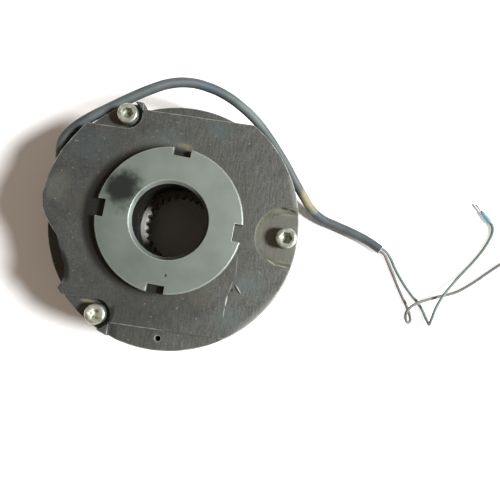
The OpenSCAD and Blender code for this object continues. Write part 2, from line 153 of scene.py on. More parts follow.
# Blackened steel: near black in the hollows of the turning marks and greyer where it is handled.
# Real turning marks are too fine to show, so here and on other pieces they are drawn millimetres apart.
waves_per_unit = 20 / math.tau  # of a wave texture at scale 1
blackened = new_material("blackened_turned_steel")
place = add(blackened, "TexCoord").outputs["Object"]
turning = add(blackened, "TexWave", {
    "Vector": place, "Scale": 1 / (7.54 * MM) / waves_per_unit, "Distortion": 0.4, "Detail": 2.0,
}, wave_type="RINGS", rings_direction="Z")
oil = add(blackened, "TexNoise", {"Vector": place, "Scale": 1 / (18 * MM), "Detail": 4.0})
edge = add(blackened, "Attribute", attribute_name="edge")
skin = add(blackened, "Mix", {
    0: oil.outputs["Fac"], 6: linear("#3a3a39"), 7: linear("#5a564f"),
}, data_type="RGBA")
colour = add(blackened, "Mix", {
    0: edge.outputs["Fac"], 6: skin.outputs[2], 7: linear("#8d8b86"),
}, data_type="RGBA")
gloss = add(blackened, "MapRange", {"Value": oil.outputs["Fac"], "To Min": 0.35, "To Max": 0.6})
bump = add(blackened, "Bump", {"Height": turning.outputs["Fac"], "Strength": 0.12, "Distance": 0.1 * MM})
shader = add(blackened, "BsdfPrincipled", {
    "Base Color": colour.outputs[2], "Metallic": 0.7, "Roughness": gloss.outputs["Result"],
    "Normal": bump.outputs["Normal"],
})
add(blackened, "OutputMaterial", {"Surface": shader.outputs["BSDF"]})

flange = rounded("flange_plate", "flange_disc", edge_width=0.5)
dress(flange, blackened)

# Rotor
# A turned aluminium disc whose hub has broached teeth that slide on the motor's toothed hub.
# Two pressed friction rings are bonded to its faces.
hub_face_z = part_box("rotor_carrier")[1].z / MM
through = 900  # half height of a mark that runs through the whole part


def mask(material, vector, at, size, turn=0, soft=0.5):
    """A shader value that is 1 in an oval mark and fades to 0 at its edge. Half widths are in mm."""
    spot = add(material, "Mapping", {
        "Vector": vector, "Location": [v * MM for v in at], "Rotation": (0, 0, math.radians(turn)),
        "Scale": [v * MM for v in size],
    }, vector_type="TEXTURE")
    reach = add(material, "VectorMath", {0: spot.outputs["Vector"]}, operation="LENGTH")
    return add(material, "MapRange", {
        "Value": reach.outputs["Value"], "From Min": 1 - soft, "From Max": 1.0, "To Min": 1.0, "To Max": 0.0,
    }, interpolation_type="SMOOTHSTEP").outputs["Result"]


def stain(material, base, amount, share, colour):
    """A base colour with some share of another colour laid over it where a mask says."""
    laid = add(material, "Math", {0: amount, 1: share}, operation="MULTIPLY")
    return add(material, "Mix", {
        0: laid.outputs["Value"], 6: base, 7: linear(colour),
    }, data_type="RGBA").outputs[2]


def shaken(material, vector, noise, reach):
    """A place pushed about by a noise, up to a reach in mm, to give a mark an uneven outline."""
    swing = add(material, "VectorMath", {
        0: noise.outputs["Color"], 1: (0.5, 0.5, 0.5),
    }, operation="SUBTRACT")
    return add(material, "VectorMath", {
        0: swing.outputs["Vector"], 1: [reach * MM] * 3, 2: vector,
    }, operation="MULTIPLY_ADD").outputs["Vector"]


# Machined aluminium: bright and a little satin. Painted shade darkens the hub face in the bore, and painted
# light brightens its left side, most of all on the teeth.
aluminium = new_material("turned_aluminium")
place = add(aluminium, "TexCoord").outputs["Object"]
turning = add(aluminium, "TexWave", {
    "Vector": place, "Scale": 1 / (5.03 * MM) / waves_per_unit, "Distortion": 0.3,
}, wave_type="RINGS", rings_direction="Z")
grime = add(aluminium, "TexNoise", {"Vector": place, "Scale": 1 / (7 * MM), "Detail": 5.0})
amount = add(aluminium, "MapRange", {"Value": grime.outputs["Fac"], "From Min": 0.45, "From Max": 0.75})
colour = add(aluminium, "Mix", {
    0: amount.outputs["Result"], 6: linear("#d8d2bf"), 7: linear("#9c947c"),
}, data_type="RGBA").outputs[2]
# Painted shade over the hub face deep in the bore.
hub_painted_shade = mask(aluminium, place, (0, 0, hub_face_z), (25, 25, 12), soft=0.2)
colour = stain(aluminium, colour, hub_painted_shade, 0.9, "#38352e")
# Painted light where the light reaches the hub's left side, brightest on the teeth.
painted_light_patch = mask(aluminium, shaken(aluminium, place, grime, 3), (-18, -1, hub_face_z), (6, 12, 8), soft=0.4)
colour = stain(aluminium, colour, painted_light_patch, 0.95, "#d3d0c6")
at_teeth = mask(aluminium, place, (0, 0, hub_face_z), (19, 19, through), soft=0.05)
teeth_painted_light = add(aluminium, "Math", {0: painted_light_patch, 1: at_teeth}, operation="MULTIPLY")
colour = stain(aluminium, colour, teeth_painted_light.outputs["Value"], 1.0, "#fffff6")
bump = add(aluminium, "Bump", {"Height": turning.outputs["Fac"], "Strength": 0.1, "Distance": 0.05 * MM})
shader = add(aluminium, "BsdfPrincipled", {
    "Base Color": colour, "Metallic": 0.15, "Roughness": 0.45, "Normal": bump.outputs["Normal"],
})
add(aluminium, "OutputMaterial", {"Surface": shader.outputs["BSDF"]})

carrier = rounded("rotor_carrier", "rotor_disc", edge_width=0.15)
dress(carrier, aluminium)

# Friction compound: a dull brown-grey pressing with pale mineral and brass flecks half a millimetre wide.
compound = new_material("pressed_friction_compound")
place = add(compound, "TexCoord").outputs["Object"]
flecks = add(compound, "TexVoronoi", {"Vector": place, "Scale": 1 / (1.1 * MM)})
fleck_form = add(compound, "MapRange", {
    "Value": flecks.outputs["Distance"], "From Min": 0.16, "From Max": 0.26, "To Min": 1.0, "To Max": 0.0,
})
kind = add(compound, "SeparateColor", {"Color": flecks.outputs["Color"]})
chosen = add(compound, "Math", {0: kind.outputs["Red"], 1: 0.6}, operation="GREATER_THAN")
fleck = add(compound, "Math", {
    0: fleck_form.outputs["Result"], 1: chosen.outputs["Value"],
}, operation="MULTIPLY")
cloud = add(compound, "TexNoise", {"Vector": place, "Scale": 1 / (4 * MM), "Detail": 6.0})
matrix = add(compound, "Mix", {
    0: cloud.outputs["Fac"], 6: linear("#3b332c"), 7: linear("#5a4d41"),
}, data_type="RGBA")
metal = add(compound, "Mix", {
    0: kind.outputs["Green"], 6: linear("#9a7b3f"), 7: linear("#8c877c"),
}, data_type="RGBA")
colour = add(compound, "Mix", {
    0: fleck.outputs["Value"], 6: matrix.outputs[2], 7: metal.outputs[2],
}, data_type="RGBA")
bump = add(compound, "Bump", {"Height": cloud.outputs["Fac"], "Strength": 0.35, "Distance": 0.15 * MM})
shader = add(compound, "BsdfPrincipled", {
    "Base Color": colour.outputs[2], "Roughness": 0.8, "Normal": bump.outputs["Normal"],
})
add(compound, "OutputMaterial", {"Surface": shader.outputs["BSDF"]})

for side in ("upper", "lower"):
    lining = rounded("friction_lining_" + side, "lining_" + side, edge_width=0.25)
    dress(lining, compound)

# Armature plate
# A flat steel disc that the magnet pulls, slotted at the rim where the sleeve bolts guide it.
# Its faces are ground, and its skin is nitrided against wear.

# Nitrided steel: an even dull grey with a darker bloom and light edges where it knocks.
nitrided = new_material("nitrided_steel")
place = add(nitrided, "TexCoord").outputs["Object"]
bloom = add(nitrided, "TexNoise", {"Vector": place, "Scale": 1 / (12 * MM), "Detail": 5.0})
edge = add(nitrided, "Attribute", attribute_name="edge")
skin = add(nitrided, "Mix", {
    0: bloom.outputs["Fac"], 6: linear("#4d4f50"), 7: linear("#6b6a66"),
}, data_type="RGBA")
colour = add(nitrided, "Mix", {
    0: edge.outputs["Fac"], 6: skin.outputs[2], 7: linear("#97958f"),
}, data_type="RGBA")
grind = add(nitrided, "TexNoise", {"Vector": place, "Scale": 1 / (0.6 * MM), "Detail": 3.0})
bump = add(nitrided, "Bump", {"Height": grind.outputs["Fac"], "Strength": 0.2, "Distance": 0.05 * MM})
shader = add(nitrided, "BsdfPrincipled", {
    "Base Color": colour.outputs[2], "Metallic": 0.8, "Roughness": 0.42, "Normal": bump.outputs["Normal"],
})
add(nitrided, "OutputMaterial", {"Surface": shader.outputs["BSDF"]})

armature = rounded("armature_plate", "armature_disc", edge_width=0.4)
dress(armature, nitrided)

# The upper face is ground a hair low, so that it meets the poles without a cut when the air gap closes.
face_relief = 0.02
face_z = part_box("armature_plate")[1].z
for vertex in armature.data.vertices:
    if vertex.co.z > face_z - merge_within:
        vertex.co.z -= face_relief * MM

# Magnet housing
# A cast steel pot that holds the coil, machined on its pole faces, its bore and its screw seats.
# The cast skin is dark and grainy, browned by grease around the ring and rubbed bare along its edges.
screw_r = 56
back_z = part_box("magnet_housing")[1].z / MM
dish_r = 15
dish_floor_r = 12.6

# Cast steel: grey-black skin with a painted light gradient, darker towards the nose and lighter to the
# right, with fine wiping streaks and a sandy grain.
cast = new_material("dark_cast_steel")
place = add(cast, "TexCoord").outputs["Object"]
grain = add(cast, "TexNoise", {"Vector": place, "Scale": 1 / (0.8 * MM), "Detail": 4.0, "Roughness": 0.65})
wipe = add(cast, "Mapping", {
    "Vector": place, "Rotation": (0, 0, math.radians(-8)),
    "Scale": (1 / (0.7 * MM), 1 / (6 * MM), 1 / (2 * MM)),
})
streaks = add(cast, "TexNoise", {"Vector": wipe.outputs["Vector"], "Scale": 1.0, "Detail": 3.0})
cloud = add(cast, "TexNoise", {"Vector": place, "Scale": 1 / (24 * MM), "Detail": 4.0})
across = add(cast, "SeparateXYZ", {"Vector": place})
# Painted light: the skin is lit more towards the right.
painted_light_gradient = add(cast, "MapRange", {
    "Value": across.outputs["X"], "From Min": -58 * MM, "From Max": 42 * MM, "To Min": -0.25, "To Max": 0.6,
})
wear = add(cast, "TexNoise", {"Vector": place, "Scale": 1 / (5 * MM), "Detail": 6.0})
mottle = add(cast, "Math", {0: wear.outputs["Fac"], 1: 0.8, 2: -0.4}, operation="MULTIPLY_ADD")
mottle = add(cast, "Math", {0: mottle.outputs["Value"], 1: cloud.outputs["Fac"]}, operation="ADD")
tone = add(cast, "Math", {0: painted_light_gradient.outputs["Result"], 1: mottle.outputs["Value"]}, operation="ADD")
tint = add(cast, "Mix", {
    0: tone.outputs["Value"], 6: linear("#3f4241"), 7: linear("#646661"),
}, data_type="RGBA")
streak_share = add(cast, "MapRange", {
    "Value": across.outputs["X"], "From Min": -40 * MM, "From Max": 25 * MM, "To Min": 0.3, "To Max": 1.0,
})
streaky = add(cast, "Mix", {0: streak_share.outputs["Result"], 2: 0.5, 3: streaks.outputs["Fac"]})
speckle = add(cast, "Math", {0: grain.outputs["Fac"], 1: streaky.outputs[0]}, operation="ADD")
shade = add(cast, "MapRange", {
    "Value": speckle.outputs["Value"], "From Min": 0.75, "From Max": 1.25, "To Min": 0.4, "To Max": 0.95,
})
colour = add(cast, "Mix", {
    0: 1.0, 6: tint.outputs[2], 7: shade.outputs["Result"],
}, data_type="RGBA", blend_type="MULTIPLY").outputs[2]
around_ring = mask(cast, place, (0, 0, back_z), (47, 47, 30), soft=0.3)
colour = stain(cast, colour, around_ring, 0.38, "#4a4740")
uneven = shaken(cast, place, wear, 12)
for at, size, share, shown in (
    ((17, 47), (8, 6), 0.5, "#4d5a5a"), ((42, -24.6), (10, 9), 0.6, "#5a6464"),
    ((35, -42), (12, 8), 0.5, "#586261"), ((-46, 3.3), (9, 7), 0.5, "#4e4c3a"),
    ((20, -35), (9, 6), 0.5, "#575445"), ((2, 36.3), (7, 2.8), 0.9, "#7d6d4e"),
    ((-17, 54.5), (5, 4), 0.6, "#63624a"), ((-6, -41), (44, 20), 0.45, "#2c2e2d"),
    ((-56, 8.5), (9, 12), 0.3, "#75776a"), ((-5, 37), (18, 7), 0.4, "#5f6a69"),
    ((-44, 30), (18, 13), 0.35, "#4b5656"),
):
    colour = stain(cast, colour, mask(cast, uneven, (*at, back_z), (*size, 6), soft=0.8), share, shown)
dish_slope = mask(cast, place, (screw_r, 0, back_z), (dish_r, dish_r, 30), soft=0.03)
dish_floor = mask(cast, place, (screw_r, 0, back_z), (dish_floor_r, dish_floor_r, 30), soft=0.05)
colour = stain(cast, colour, dish_slope, 0.3, "#7c795f")
colour = stain(cast, colour, dish_floor, 0.4, "#5d5e5b")
# Painted light on the dish's slopes above and below the screw, which turn away from the light.
for y, share in ((13.6, 0.7), (-13.8, 0.45)):
    lighter_here = mask(cast, place, (54, y, back_z), (10, 3.5, 12))
    dish_slope_painted_light = add(cast, "Math", {0: dish_slope, 1: lighter_here}, operation="MULTIPLY")
    colour = stain(cast, colour, dish_slope_painted_light.outputs["Value"], share, "#8a8b7d")
edge = add(cast, "Attribute", attribute_name="edge")
patchy = add(cast, "MapRange", {
    "Value": wear.outputs["Fac"], "From Min": 0.4, "From Max": 0.65, "To Min": 0.3, "To Max": 0.9,
})
rubbed = add(cast, "Math", {0: edge.outputs["Fac"], 1: patchy.outputs["Result"]}, operation="MULTIPLY")
colour = stain(cast, colour, rubbed.outputs["Value"], 1.0, "#97978e")
for at, size, shown in (
    ((50, 0), (15, 22, 4), "#53544b"), ((-42, -36), (32, 32, 14), "#45463d"),
    ((18, -52.6), (16, 5, 8), "#4a4b45"),
):
    dull_here = mask(cast, place, (*at, back_z), size, soft=0.3)
    dull_rim = add(cast, "Math", {0: edge.outputs["Fac"], 1: dull_here}, operation="MULTIPLY")
    colour = stain(cast, colour, dull_rim.outputs["Value"], 0.95, shown)
scuffs = add(cast, "TexNoise", {"Vector": place, "Scale": 1 / (1.8 * MM), "Detail": 2.0})
chips = add(cast, "MapRange", {"Value": scuffs.outputs["Fac"], "From Min": 0.68, "From Max": 0.74})
colour = stain(cast, colour, chips.outputs["Result"], 0.5, "#8c8c84")

# The rim is paler in two places on the right. The ring's painted shadow lies beside it, and painted shade
# fills the bore and the cut-out's edge.
flat = add(cast, "CombineXYZ", {"X": across.outputs["X"], "Y": across.outputs["Y"]})
from_axis = add(cast, "VectorMath", {0: flat.outputs["Vector"]}, operation="LENGTH")
near_rim = add(cast, "MapRange", {
    "Value": from_axis.outputs["Value"], "From Min": 58 * MM, "From Max": 61.5 * MM,
}, interpolation_type="SMOOTHSTEP")
for at, size in (((50, -41), (19, 19)), ((59, 23), (9, 15))):
    lighter_here = mask(cast, place, (*at, back_z), (*size, 6), soft=0.6)
    pale_rim = add(cast, "Math", {0: near_rim.outputs["Result"], 1: lighter_here}, operation="MULTIPLY")
    colour = stain(cast, colour, pale_rim.outputs["Value"], 0.6, "#8f918e")
# Painted shadow of the ring on the plateau beside it.
ring_painted_shadow = mask(cast, place, (-6.2, -0.2, back_z), (37.6, 37.6, 9), soft=0.1)
bore_shade_mask = mask(cast, place, (0, 0, back_z), (24, 24, through), soft=0.02)
for painted_shade in (ring_painted_shadow, bore_shade_mask):
    colour = stain(cast, colour, painted_shade, 0.93, "#0e0e0c")
# Painted shade along the cut-out's edge.
for at, size, turn in (((-52.5, -27.5), (9, 13.5), 22), ((-46, -28.4), (9.5, 2.8), -70)):
    cut_out_painted_shade = mask(cast, place, (*at, back_z), (*size, 8), turn)
    colour = stain(cast, colour, cut_out_painted_shade, 0.9, "#12120f")

# A gouge with a bright lip, the long scratches that run past it, painted shadow lines under the screw dish's
# upper rim and light lines at its lower rim, and a rubbed step and painted shade beside the lower left
# screw.
for at, size, turn, share, shown in (
    ((34.5, -16.5), (6.5, 0.35), 92, 0.5, "#8d8a7c"), ((33.3, -27), (4.2, 0.4), 77, 0.6, "#8f8c80"),
    ((32.1, -33.6), (3.2, 0.4), 86, 0.9, "#c4c4bc"), ((31.8, -39), (3.2, 0.3), 88, 0.7, "#a2a39c"),
    ((33.9, -28.2), (1.2, 0.7), 60, 0.9, "#1c1c18"), ((36.2, -27.5), (3.3, 0.6), 129, 0.95, "#171714"),
    ((37, -27.4), (2.9, 0.4), 129, 0.8, "#b4b2a2"), ((53.5, 13.9), (2.6, 0.5), 2, 0.85, "#2b2c1e"),
    ((57.6, 13.4), (2.4, 0.5), -16, 0.85, "#22231a"), ((50.8, -12.5), (3.4, 0.5), -28, 0.65, "#b4b8ae"),
    ((56, -13.6), (3.4, 0.5), -8, 0.75, "#b4b8ae"), ((-33.6, -43.5), (5, 1.4), -3, 0.8, "#85866a"),
    ((-20.8, -48), (6, 2.2), 82, 0.8, "#161612"),
):
    colour = stain(cast, colour, mask(cast, place, (*at, back_z), (*size, 12), turn), share, shown)
gloss = add(cast, "MapRange", {"Value": grain.outputs["Fac"], "To Min": 0.45, "To Max": 0.7})
bump = add(cast, "Bump", {"Height": speckle.outputs["Value"], "Strength": 0.35, "Distance": 0.15 * MM})
shader = add(cast, "BsdfPrincipled", {
    "Base Color": colour, "Metallic": 0.3, "Roughness": gloss.outputs["Result"],
    "Normal": bump.outputs["Normal"],
})
add(cast, "OutputMaterial", {"Surface": shader.outputs["BSDF"]})

housing = rounded("magnet_housing", "housing_casting", edge_width=0.5)
dress(housing, cast)

# Coil
# Enamelled copper wire, wound in layers on a moulded nylon bobbin. It lies in the groove of the magnet,
# and black resin poured over it closes the groove.

# Moulded nylon: a creamy, faintly mottled white.
nylon = new_material("moulded_nylon")
place = add(nylon, "TexCoord").outputs["Object"]
mottle = add(nylon, "TexNoise", {"Vector": place, "Scale": 1 / (6 * MM)})
colour = add(nylon, "Mix", {
    0: mottle.outputs["Fac"], 6: linear("#d6cfb8"), 7: linear("#e8e3d2"),
}, data_type="RGBA")
shader = add(nylon, "BsdfPrincipled", {"Base Color": colour.outputs[2], "Roughness": 0.5, "IOR": 1.53})
add(nylon, "OutputMaterial", {"Surface": shader.outputs["BSDF"]})
dress(nodes["coil_bobbin"], nylon)

# Enamelled copper: warm and glossy, ribbed by the layers of wire, which are drawn coarse to show.
copper = new_material("enamelled_copper_wire")
place = add(copper, "TexCoord").outputs["Object"]
layers = add(copper, "TexWave", {
    "Vector": place, "Scale": 1 / (3.14 * MM) / waves_per_unit,
}, bands_direction="Z")
colour = add(copper, "Mix", {
    0: layers.outputs["Fac"], 6: linear("#7a3f1e"), 7: linear("#b8693a"),
}, data_type="RGBA")
bump = add(copper, "Bump", {"Height": layers.outputs["Fac"], "Distance": 0.2 * MM})
shader = add(copper, "BsdfPrincipled", {
    "Base Color": colour.outputs[2], "Metallic": 0.9, "Roughness": 0.3, "Normal": bump.outputs["Normal"],
})
add(copper, "OutputMaterial", {"Surface": shader.outputs["BSDF"]})
dress(nodes["coil_winding"], copper)

# Potting resin: black, slightly uneven and half glossy.
resin = new_material("black_potting_resin")
place = add(resin, "TexCoord").outputs["Object"]
flow = add(resin, "TexNoise", {"Vector": place, "Scale": 1 / (9 * MM)})
colour = add(resin, "Mix", {
    0: flow.outputs["Fac"], 6: linear("#141414"), 7: linear("#26241f"),
}, data_type="RGBA")
bump = add(resin, "Bump", {"Height": flow.outputs["Fac"], "Strength": 0.3, "Distance": 0.5 * MM})
shader = add(resin, "BsdfPrincipled", {
    "Base Color": colour.outputs[2], "Roughness": 0.35, "Normal": bump.outputs["Normal"],
})
add(resin, "OutputMaterial", {"Surface": shader.outputs["BSDF"]})
dress(nodes["coil_potting"], resin)

# Springs and thrust pins
# Six steel springs stand in bores of the magnet and push the armature plate on the rotor. Their upper ends
# follow the turned pins that the adjuster ring presses down. Below, they leave the plate its air gap.
air_gap = 0.3
spring_count = 6
spring_turns = 6
spring_wire_r = 0.6
wire_sides = 10
steps_per_turn = 32
pin_r = 3.5
pin_chamfer = 0.3
spigot_r = 1.8
spigot_h = 3
spigot_chamfer = 0.4

# Spring steel: mid grey and half bright under a thin, uneven film of oil.
steel_wire = new_material("oiled_spring_steel")
place = add(steel_wire, "TexCoord").outputs["Object"]
oil = add(steel_wire, "TexNoise", {"Vector": place, "Scale": 1 / (3 * MM)})
colour = add(steel_wire, "Mix", {
    0: oil.outputs["Fac"], 6: linear("#5c5b58"), 7: linear("#86837c"),
}, data_type="RGBA")
shader = add(steel_wire, "BsdfPrincipled", {
    "Base Color": colour.outputs[2], "Metallic": 1.0, "Roughness": 0.35,
})
add(steel_wire, "OutputMaterial", {"Surface": shader.outputs["BSDF"]})


def turned(profile, steps):
    """A closed solid turned about Z from points of radius and height in millimetres."""
    shape = bmesh.new()
    points = [shape.verts.new((r * MM, 0, z * MM)) for r, z in profile]
    line = [shape.edges.new(pair) for pair in zip(points, points[1:])]
    bmesh.ops.spin(
        shape, geom=points + line, cent=(0, 0, 0), axis=(0, 0, 1), angle=math.tau, steps=steps,
        use_merge=True,
    )
    bmesh.ops.remove_doubles(shape, verts=shape.verts, dist=merge_within)
    bmesh.ops.recalc_face_normals(shape, faces=shape.faces)
    return shape


for i in range(1, spring_count + 1):
    low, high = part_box(f"compression_spring_{i}")
    low.z += air_gap * MM
    middle = (low + high) / 2
    coil_r = (high.x - low.x) / 2 - spring_wire_r * MM
    rise = high.z - low.z - 2 * spring_wire_r * MM
    steps = steps_per_turn * spring_turns
    spring = bmesh.new()
    wire_end = bmesh.ops.create_circle(
        spring, cap_ends=False, segments=wire_sides, radius=spring_wire_r * MM,
    )["verts"]
    upright = Matrix.Rotation(math.pi / 2, 3, "X")
    bmesh.ops.rotate(spring, verts=wire_end, cent=(0, 0, 0), matrix=upright)
    foot = (middle.x + coil_r, middle.y, low.z + spring_wire_r * MM)
    bmesh.ops.translate(spring, verts=wire_end, vec=foot)
    bmesh.ops.spin(
        spring, geom=wire_end + spring.edges[:], cent=(middle.x, middle.y, 0), axis=(0, 0, 1),
        dvec=(0, 0, rise / steps), angle=math.tau * spring_turns, steps=steps,
    )
    bmesh.ops.holes_fill(spring, edges=[e for e in spring.edges if e.is_boundary])
    bmesh.ops.recalc_face_normals(spring, faces=spring.faces)
    coil = finished(spring, f"spring_{i}", f"compression_spring_{i}")
    coil.parent = None
    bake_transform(coil)
    dress(coil, steel_wire)

    low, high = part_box(f"thrust_pin_{i}")
    middle = (low + high) / 2
    pin_l = (high.z - low.z) / MM
    pin = turned([
        (0, 0), (spigot_r - spigot_chamfer, 0), (spigot_r, spigot_chamfer), (spigot_r, spigot_h),
        (pin_r - pin_chamfer, spigot_h), (pin_r, spigot_h + pin_chamfer), (pin_r, pin_l - pin_chamfer),
        (pin_r - pin_chamfer, pin_l), (0, pin_l),
    ], steps=48)
    bmesh.ops.translate(pin, verts=pin.verts, vec=(middle.x, middle.y, low.z))
    dress(finished(pin, f"pin_{i}", f"thrust_pin_{i}"), steel_wire)

# Adjuster ring
# A turned steel ring with four spanner notches and a phosphated skin. Its neck is threaded into the magnet,
# and turning it sets the springs.
ring_bore_r = 17.5
bore_edge_r = ring_bore_r + 0.4
chamfer_r = ring_bore_r + 1.4
ring_top_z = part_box("adjuster_ring")[1].z / MM

# Phosphated steel: an even grey-green with a painted light gradient, a dark patch beside the bore, painted
# shade on the bore's wall and painted shade on the chamfer's right side.
phosphated = new_material("phosphated_turned_steel")
place = add(phosphated, "TexCoord").outputs["Object"]
turning = add(phosphated, "TexWave", {
    "Vector": place, "Scale": 1 / (5.65 * MM) / waves_per_unit, "Distortion": 0.5, "Detail": 2.0,
}, wave_type="RINGS", rings_direction="Z")
cloud = add(phosphated, "TexNoise", {"Vector": place, "Scale": 1 / (14 * MM), "Detail": 3.0})
askew = add(phosphated, "Mapping", {"Vector": place, "Rotation": (0, 0, math.radians(-30))})
across = add(phosphated, "SeparateXYZ", {"Vector": askew.outputs["Vector"]})
# Painted light: the face is lighter towards the upper right.
painted_light_gradient = add(phosphated, "MapRange", {
    "Value": across.outputs["X"], "From Min": -35 * MM, "From Max": 30 * MM, "To Min": -0.35, "To Max": 0.35,
})
tone = add(phosphated, "Math", {0: painted_light_gradient.outputs["Result"], 1: cloud.outputs["Fac"]}, operation="ADD")
colour = add(phosphated, "Mix", {
    0: tone.outputs["Value"], 6: linear("#656f68"), 7: linear("#8a948c"),
}, data_type="RGBA").outputs[2]
rag = add(phosphated, "TexNoise", {"Vector": place, "Scale": 1 / (5 * MM), "Detail": 6.0})
uneven = shaken(phosphated, place, rag, 12)
dark_patch = mask(phosphated, uneven, (-24, 11.8, ring_top_z), (12.5, 13, 16), -18, soft=0.65)
colour = stain(phosphated, colour, dark_patch, 0.95, "#1d2120")
# Painted shade on the wall of the bore below the chamfer.
bore_shade_mask = mask(phosphated, place, (0, 0, 50), (bore_edge_r, bore_edge_r, through), soft=0.01)
below = add(phosphated, "MapRange", {
    "Value": across.outputs["Z"], "From Min": 53.9 * MM, "From Max": 54.3 * MM, "To Min": 1.0, "To Max": 0.0,
})
bore_wall_painted_shade = add(phosphated, "Math", {0: bore_shade_mask, 1: below.outputs["Result"]}, operation="MULTIPLY")
colour = stain(phosphated, colour, bore_wall_painted_shade.outputs["Value"], 0.93, "#12130f")
# Painted shade on the chamfer's right side.
in_chamfer = mask(phosphated, place, (0, 0, 50), (chamfer_r, chamfer_r, through), soft=0.01)
chamfer_shade_side = mask(phosphated, place, (20, -8, 50), (29, 29, through), soft=0.3)
chamfer_painted_shade = add(phosphated, "Math", {0: in_chamfer, 1: chamfer_shade_side}, operation="MULTIPLY")
colour = stain(phosphated, colour, chamfer_painted_shade.outputs["Value"], 0.85, "#1b1c17")
punch_dot = mask(phosphated, place, (2.7, -25.9, ring_top_z), (0.6, 0.9, 1), soft=0.4)
colour = stain(phosphated, colour, punch_dot, 0.9, "#1d201f")
edge = add(phosphated, "Attribute", attribute_name="edge")
colour = stain(phosphated, colour, edge.outputs["Fac"], 0.35, "#b9c0ba")
bump = add(phosphated, "Bump", {"Height": turning.outputs["Fac"], "Strength": 0.06, "Distance": 0.05 * MM})
shader = add(phosphated, "BsdfPrincipled", {
    "Base Color": colour, "Metallic": 0.5, "Roughness": 0.5, "Normal": bump.outputs["Normal"],
})
add(phosphated, "OutputMaterial", {"Surface": shader.outputs["BSDF"]})

ring = rounded("adjuster_ring", "ring_turning", edge_width=0.25)
dress(ring, phosphated)

# Sleeve bolts
# Hollow hexagon bolts of zinc plated steel that screw into the magnet and set the air gap.
# The cap screws pass through them.
screw_angles = (0, 120, 240)
round_steps = 72
hex_across = 12
hex_h = 5
hex_corner_r = 6.95
hex_face_r = 6.1
hex_chamfer = 0.45
thread_r = 5
thread_root_r = 4.35
thread_pitch = 1.25
thread_run_out = 0.5
thread_foot = 0.1
crest_start = 0.55
crest_end = 0.75
bolt_bore_r = 3.3

# Zinc plating: bright, faintly green and dulled in patches. The sockets of the cap screws are duller still,
# with dirt in them, and one is packed with pale dust.
zinc = new_material("zinc_plated_steel")
place = add(zinc, "TexCoord").outputs["Object"]
dull = add(zinc, "TexNoise", {"Vector": place, "Scale": 1 / (2.5 * MM), "Detail": 5.0})
amount = add(zinc, "MapRange", {"Value": dull.outputs["Fac"], "From Min": 0.4, "From Max": 0.7})
colour = add(zinc, "Mix", {
    0: amount.outputs["Result"], 6: linear("#dfe7dd"), 7: linear("#8f9686"),
}, data_type="RGBA").outputs[2]
recess = add(zinc, "Attribute", attribute_name="recess")
colour = stain(zinc, colour, recess.outputs["Fac"], 1.0, "#a4a898")
packed_at = (-screw_r / 2, -screw_r * math.sin(math.pi / 3), back_z)
packed = mask(zinc, place, packed_at, (4, 4, 9), soft=0.2)
dust = add(zinc, "Math", {0: recess.outputs["Fac"], 1: packed}, operation="MULTIPLY")
colour = stain(zinc, colour, dust.outputs["Value"], 0.9, "#e2e6d4")
bits = add(zinc, "TexNoise", {"Vector": place, "Scale": 1 / (1.6 * MM), "Detail": 2.0})
dirt = add(zinc, "MapRange", {"Value": bits.outputs["Fac"], "From Min": 0.5, "From Max": 0.62})
soiled = add(zinc, "Math", {0: recess.outputs["Fac"], 1: dirt.outputs["Result"]}, operation="MULTIPLY")
colour = stain(zinc, colour, soiled.outputs["Value"], 0.7, "#3f4034")
metal_share = add(zinc, "MapRange", {"Value": recess.outputs["Fac"], "To Min": 0.8, "To Max": 0.2})
gloss = add(zinc, "MapRange", {"Value": dull.outputs["Fac"], "To Min": 0.18, "To Max": 0.42})
bump = add(zinc, "Bump", {"Height": dull.outputs["Fac"], "Strength": 0.15, "Distance": 0.1 * MM})
shader = add(zinc, "BsdfPrincipled", {
    "Base Color": colour, "Metallic": metal_share.outputs["Result"], "Roughness": gloss.outputs["Result"],
    "Normal": bump.outputs["Normal"],
})
add(zinc, "OutputMaterial", {"Surface": shader.outputs["BSDF"]})


def hexagon_radius(vert, across):
    """Distance from the axis to a hexagon's side in the direction of a vertex, in metres."""
    turn = math.atan2(vert.co.y, vert.co.x) % (math.pi / 3) - math.pi / 6
    return across / 2 * MM / math.cos(turn)


def set_radius(vert, radius):
    """Moves a vertex straight out from or in to the axis."""
    vert.co.xy = vert.co.xy.normalized() * radius


def around_axis(shape):
    """Copies a shape on the axis to the three screw places."""
    base = shape.verts[:] + shape.edges[:] + shape.faces[:]
    copies = [base] + [bmesh.ops.duplicate(shape, geom=base)["geom"] for _ in screw_angles[1:]]
    for angle, copy in zip(screw_angles, copies):
        verts = [g for g in copy if isinstance(g, bmesh.types.BMVert)]
        spot = Matrix.Rotation(math.radians(angle), 4, "Z") @ Matrix.Translation((screw_r * MM, 0, 0))
        bmesh.ops.transform(shape, matrix=spot, verts=verts)


low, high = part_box("sleeve_bolts")
bolt_low = low.z / MM
bolt_high = high.z / MM
hex_top = bolt_low + hex_h
thread_turns = int((bolt_high - hex_top - thread_run_out) / thread_pitch)
profile = [
    (bolt_bore_r, bolt_low), (hex_face_r, bolt_low), (hex_corner_r, bolt_low + hex_chamfer),
    (hex_corner_r, hex_top - hex_chamfer), (hex_face_r, hex_top),
]
for k in range(thread_turns):
    z = hex_top + k * thread_pitch
    profile += [(thread_root_r, z + thread_foot), (thread_r, z + crest_start), (thread_r, z + crest_end)]
profile += [(thread_root_r, bolt_high), (bolt_bore_r, bolt_high), (bolt_bore_r, bolt_low)]
bolts = turned(profile, round_steps)
for vert in bolts.verts:
    if vert.co.xy.length > (thread_r + hex_face_r) / 2 * MM:
        set_radius(vert, min(vert.co.xy.length, hexagon_radius(vert, hex_across)))
around_axis(bolts)
dress(finished(bolts, "hollow_bolts", "sleeve_bolts"), zinc)

